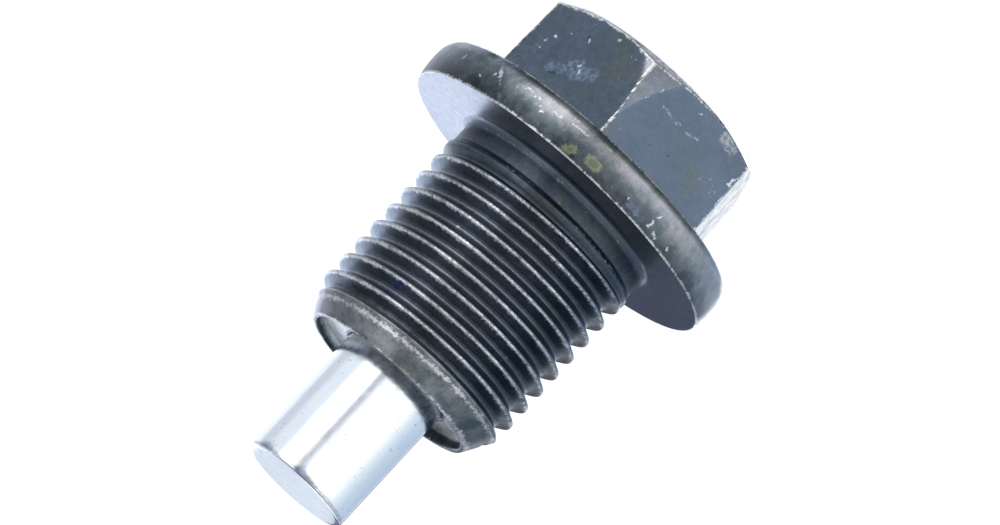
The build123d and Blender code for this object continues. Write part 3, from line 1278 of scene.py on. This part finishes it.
@dataclass(frozen=True)
class LightBand:
    """Brightness and tint of the studio at a turn from the camera, in degrees, positive to its left."""

    turn: float
    level: float
    tint: Colour = (1.0, 1.0, 1.0)


@dataclass
class Studio:
    """White studio: soft light all round, stronger from one side, with a pale floor."""

    view: Viewpoint = field(default_factory=Viewpoint)
    card_distance: float = 0.050
    card_top: float = 0.060
    floor_radius: float = 1.5
    floor_drop: float = 0.00005
    floor_sides: int = 96
    floor_grey: float = 0.28
    floor_glow: float = 0.93
    strongest: float = 3.4
    seen_in_metal: float = 0.25
    bands: tuple[LightBand, ...] = (
        LightBand(-180, 1.2, (0.82, 0.92, 1.10)),
        LightBand(-150, 1.2, (0.84, 0.92, 1.10)),
        LightBand(-132, 1.2, (0.90, 0.95, 1.07)),
        LightBand(-121, 0.7, (0.88, 0.92, 1.10)),
        LightBand(-104, 0.7, (0.88, 0.94, 1.06)),
        LightBand(-90, 1.0, (0.90, 0.96, 1.04)),
        LightBand(-66, 1.0, (0.88, 0.95, 1.03)),
        LightBand(-58, 2.4),
        LightBand(-30, 2.4),
        LightBand(-25, 1.4),
        LightBand(-21, 0.48, (0.90, 0.94, 1.08)),
        LightBand(-14, 0.48, (0.90, 0.94, 1.08)),
        LightBand(-8, 1.3),
        LightBand(18, 1.3),
        LightBand(38, 1.6, (0.95, 0.97, 1.03)),
        LightBand(62, 1.6, (0.93, 0.96, 1.05)),
        LightBand(82, 1.0, (0.88, 0.97, 1.04)),
        LightBand(105, 0.75, (0.66, 0.88, 1.12)),
        LightBand(155, 0.55, (0.56, 0.80, 1.16)),
        LightBand(164, 3.3, (0.98, 0.99, 1.01)),
        LightBand(174, 3.3, (0.98, 0.99, 1.01)),
        LightBand(180, 1.6, (0.84, 0.95, 1.12)),
    )
    heights: tuple[tuple[float, float], ...] = (
        (-90, 0.15),
        (-50, 0.22),
        (-40, 0.9),
        (-34, 1.4),
        (-24, 1.4),
        (-16, 1.0),
        (-8, 1.0),
        (4, 0.58),
        (20, 0.52),
        (40, 0.75),
        (50, 0.7),
        (62, 0.3),
        (72, 0.12),
        (90, 0.08),
    )

    def build(self) -> None:
        """Add the world, the floor and the two cards, and set the plain view."""
        bpy.context.scene.view_settings.view_transform = "Standard"
        self.add_world()
        self.add_floor()
        self.add_card("dark_card", (0.004, 0.022), 0.001, (0.15, 0.17, 0.25))
        self.add_card("pale_card", (-0.034, -0.004), 0.009, (1.46, 1.62, 1.98))

    def _ramp(
        self, nodes: Nodes, place: bpy.types.NodeSocket, stops: list[tuple[float, Colour]]
    ) -> bpy.types.NodeSocket:
        """Add a colour ramp.

        Args:
            nodes: The tree that it goes in.
            place: Where along the ramp to read it, from 0 to 1.
            stops: Place from 0 to 1 and colour of each stop, in order.

        Returns:
            The ramp's colour.
        """
        ramp = nodes.add("ValToRGB", {0: place})
        elements = ramp.color_ramp.elements
        while len(elements) < len(stops):
            elements.new(0.5)
        for element, (position, colour) in zip(elements, stops):
            element.position = position
            element.color = (*colour, 1.0)
        return ramp.outputs[0]

    def _sight(self, nodes: Nodes) -> bpy.types.NodeSocket:
        """Make the share of the white background that each kind of ray sees.

        Args:
            nodes: The world's tree.

        Returns:
            1 for the camera's and transmitted rays, less for glossy ones, 0 for the others.
        """
        path = nodes.add("LightPath").outputs
        metal = {0: path["Is Glossy Ray"], 1: self.seen_in_metal}
        total = nodes.add("Math", metal, operation="MULTIPLY").outputs[0]
        for kind in ("Is Camera Ray", "Is Transmission Ray"):
            total = nodes.add("Math", {0: total, 1: path[kind]}, operation="MAXIMUM").outputs[0]
        return total

    def _glow(self, nodes: Nodes) -> bpy.types.NodeSocket:
        """Make the soft bands of light round the plug.

        Args:
            nodes: The world's tree.

        Returns:
            The light's shader.
        """
        right, _, _ = self.view.axes()
        ahead = Vector((right.y, -right.x, 0))
        place = nodes.add("TexCoord").outputs["Generated"]
        left_part, ahead_part = (
            nodes.add("VectorMath", {0: place, 1: axis}, operation="DOT_PRODUCT").outputs["Value"]
            for axis in (-right, ahead)
        )
        turn = nodes.add("Math", {0: left_part, 1: ahead_part}, operation="ARCTAN2").outputs[0]
        share = nodes.add("MapRange", {"Value": turn, "From Min": -math.pi, "From Max": math.pi})
        turn_stops = [
            (band.turn / 360 + 0.5, tuple(c * band.level / self.strongest for c in band.tint))
            for band in self.bands
        ]
        around = self._ramp(nodes, share.outputs[0], turn_stops)
        up = nodes.add("SeparateXYZ", {0: place}).outputs["Z"]
        rise = nodes.add("MapRange", {"Value": up, "From Min": -1.0})
        tallest = max(level for _, level in self.heights)
        up_stops = [
            (math.sin(math.radians(elevation)) / 2 + 0.5, (level / tallest,) * 3)
            for elevation, level in self.heights
        ]
        upward = self._ramp(nodes, rise.outputs[0], up_stops)
        both = nodes.add("Mix", {0: 1.0, 6: around, 7: upward}, data_type="RGBA", blend_type="MULTIPLY")
        light = {"Color": both.outputs[2], "Strength": self.strongest * tallest}
        return nodes.add("Background", light).outputs[0]

    def add_world(self) -> None:
        """Add a world that the camera sees as white, and the metal in part, with soft bands of light."""
        world = bpy.data.worlds.new("studio")
        world.use_nodes = True
        bpy.context.scene.world = world
        nodes = Nodes(world.node_tree)
        white = nodes.add("Background", {"Color": (1, 1, 1, 1)}).outputs[0]
        mix = nodes.add("MixShader", {0: self._sight(nodes), 1: self._glow(nodes), 2: white})
        nodes.add("OutputWorld", {"Surface": mix.outputs[0]})

    def _plate(self, name: str, corners: list[Vector]) -> bpy.types.Object:
        """Add one flat stage plate.

        Args:
            name: The plate's name.
            corners: Its corners in metres, in order.

        Returns:
            The plate.
        """
        mesh = bpy.data.meshes.new(name)
        mesh.from_pydata([tuple(c) for c in corners], [], [tuple(range(len(corners)))])
        plate = bpy.data.objects.new(name, mesh)
        bpy.context.scene.collection.objects.link(plate)
        return plate

    def _cover(self, plate: bpy.types.Object, name: str) -> Nodes:
        """Give a plate a new material and return its empty tree.

        Args:
            plate: The plate.
            name: The material's name.

        Returns:
            The material's tree.
        """
        material = bpy.data.materials.new(name)
        material.use_nodes = True
        plate.data.materials.append(material)
        return Nodes(material.node_tree)

    def add_floor(self) -> None:
        """Add a pale floor that stays white to the camera."""
        turns = [TURN * k / self.floor_sides for k in range(self.floor_sides)]
        radius = self.floor_radius
        corners = [Vector((radius * math.cos(t), radius * math.sin(t), -self.floor_drop)) for t in turns]
        floor = self._plate("floor", corners)
        floor.visible_glossy = False
        nodes = self._cover(floor, "pale_floor")
        matt = nodes.add("BsdfDiffuse", {"Color": (*(self.floor_grey,) * 3, 1)}).outputs[0]
        seen = nodes.add("LightPath").outputs["Is Camera Ray"]
        glow = nodes.add("Emission", {"Color": (*(self.floor_glow,) * 3, 1), "Strength": seen}).outputs[0]
        both = nodes.add("AddShader", {0: matt, 1: glow})
        nodes.add("OutputMaterial", {"Surface": both.outputs[0]})

    def add_card(self, name: str, sideways: tuple[float, float], low: float, glow: Colour) -> None:
        """Add a card behind the plug that only its metal can see.

        Args:
            name: The card's name.
            sideways: How far its two edges are to the left, in metres.
            low: Height of its lower edge, in metres.
            glow: The light that it sends out.
        """
        right, _, _ = self.view.axes()
        behind = Vector((-right.y, right.x, 0)) * self.card_distance
        near_side, far_side = (behind - right * way for way in sideways)
        foot, head = Vector((0, 0, low)), Vector((0, 0, self.card_top))
        card = self._plate(name, [near_side + foot, far_side + foot, far_side + head, near_side + head])
        card.visible_camera = False
        card.visible_diffuse = False
        card.visible_shadow = False
        nodes = self._cover(card, name)
        light = nodes.add("Emission", {"Color": (*glow, 1)})
        nodes.add("OutputMaterial", {"Surface": light.outputs[0]})


STEEL_MARKS: dict[MarkKind, tuple[Mark, ...]] = {
    MarkKind.SCUFF: (
        Mark((-61, 4.3), (-68, 3.9), 0.75),
        Mark((-49, 4.9), (-55, 4.6), 0.50),
        Mark((-56, 4.0), (-60, 3.5), 0.35),
        Mark((-113, 9.4), (-117, 9.4), 0.30),
    ),
    MarkKind.STAIN: (
        Mark((-95.4, 9.15), (-97.4, 9.15), 0.55),
        Mark((-87.4, 9.60), (-89.0, 9.35), 0.42),
    ),
    MarkKind.STAIN_MIDDLE: (
        Mark((-95.8, 9.15), (-97.0, 9.15), 0.33),
        Mark((-88.0, 9.50), (-88.4, 9.45), 0.20),
    ),
    MarkKind.LIME: (Mark((-134, 0.70), (-139.5, 0.8), 0.55),),
    MarkKind.PIT: (
        Mark((-53, 1.8), (-53.5, 1.7), 0.12),
        Mark((-50, 5.3), (-53, 5.1), 0.16),
        Mark((-109, 4.8), (-109, 4.8), 0.11),
        Mark((-119, 4.4), (-119, 4.4), 0.10),
    ),
    MarkKind.PAINT: (Mark((-61.6, 23.2), (-62.4, 23.45), 0.20),),
    MarkKind.SPECK: (
        Mark((-62, 4.0), (-62.5, 4.2), 0.13),
        Mark((-60, 3.7), (-60, 3.8), 0.10),
        Mark((-54, 1.9), (-55, 2.0), 0.12),
        Mark((-45, 2.3), (-45, 2.3), 0.10),
        Mark((-40, 2.9), (-40, 3.0), 0.12),
        Mark((-38, 3.5), (-38, 3.6), 0.10),
        Mark((-38, 4.2), (-38, 4.2), 0.10),
        Mark((-66, 0.8), (-67, 0.8), 0.10),
        Mark((-93.5, 1.8), (-93.5, 2.1), 0.12),
        Mark((-148.5, 2.1), (-148.5, 2.6), 0.15),
        Mark((-117.5, 0.85), (-117.5, 0.85), 0.10),
        Mark((-53, 8.0), (-54.5, 8.4), 0.17),
        Mark((-52.5, 8.4), (-52.5, 8.5), 0.10),
        Mark((-90, 8.0), (-84, 8.05), 0.09),
        Mark((-122.7, 8.4), (-122.7, 8.6), 0.12),
        Mark((-122.3, 9.0), (-122.3, 9.5), 0.12),
        Mark((-125, 9.5), (-127, 9.6), 0.14),
        Mark((-132.6, 9.4), (-132.8, 9.5), 0.12),
        Mark((-111.7, 9.1), (-111.7, 9.1), 0.12),
        Mark((-77, 8.25), (-80, 8.2), 0.10),
        Mark((-73.8, 8.7), (-73.8, 8.7), 0.12),
        Mark((-69.0, 8.1), (-70.5, 8.1), 0.11),
        Mark((-72.3, 8.5), (-72.3, 8.5), 0.10),
        Mark((-67, 8.0), (-64, 8.1), 0.10),
        Mark((-62, 8.2), (-62, 8.3), 0.09),
        Mark((-35, 8.2), (-35, 8.4), 0.12),
        Mark((-47.7, 9.0), (-48, 9.1), 0.12),
        Mark((-65, 17.0), (-72, 17.3), 0.13),
    ),
    MarkKind.SCRATCH: (
        Mark((-124.5, 2.2), (-118, 2.45), 0.13),
        Mark((-114, 2.4), (-109, 2.5), 0.09),
        Mark((-108, 2.45), (-102, 2.35), 0.10),
        Mark((-52.5, 7.8), (-60.5, 9.8), 0.14),
    ),
}


def dress(piece: bpy.types.Object, node: str, material: bpy.types.Material) -> None:
    """Give a piece its finish and let it stand for its CAD node.

    Args:
        piece: The dressed mesh.
        node: The CAD node that it replaces.
        material: Its finish.
    """
    piece.data.materials.append(material)
    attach(piece, "root")
    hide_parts(node)
    triangles = sum(len(face.vertices) - 2 for face in piece.data.polygons)
    LOG.info("%s stands for %s with %d triangles", piece.name, node, triangles)


def main() -> None:
    """Build the studio, the plug and its magnet."""
    logging.basicConfig(level=logging.INFO, format="%(message)s")
    Viewpoint().build()
    Studio().build()
    body = PlugBody()
    steel = BlackenedSteel(body, STEEL_MARKS).build()
    dress(body.build(), "plug_body", steel)
    dress(BarMagnet().build(), "magnet", PlatedMagnet().build())


if __name__ == "__main__":
    main()
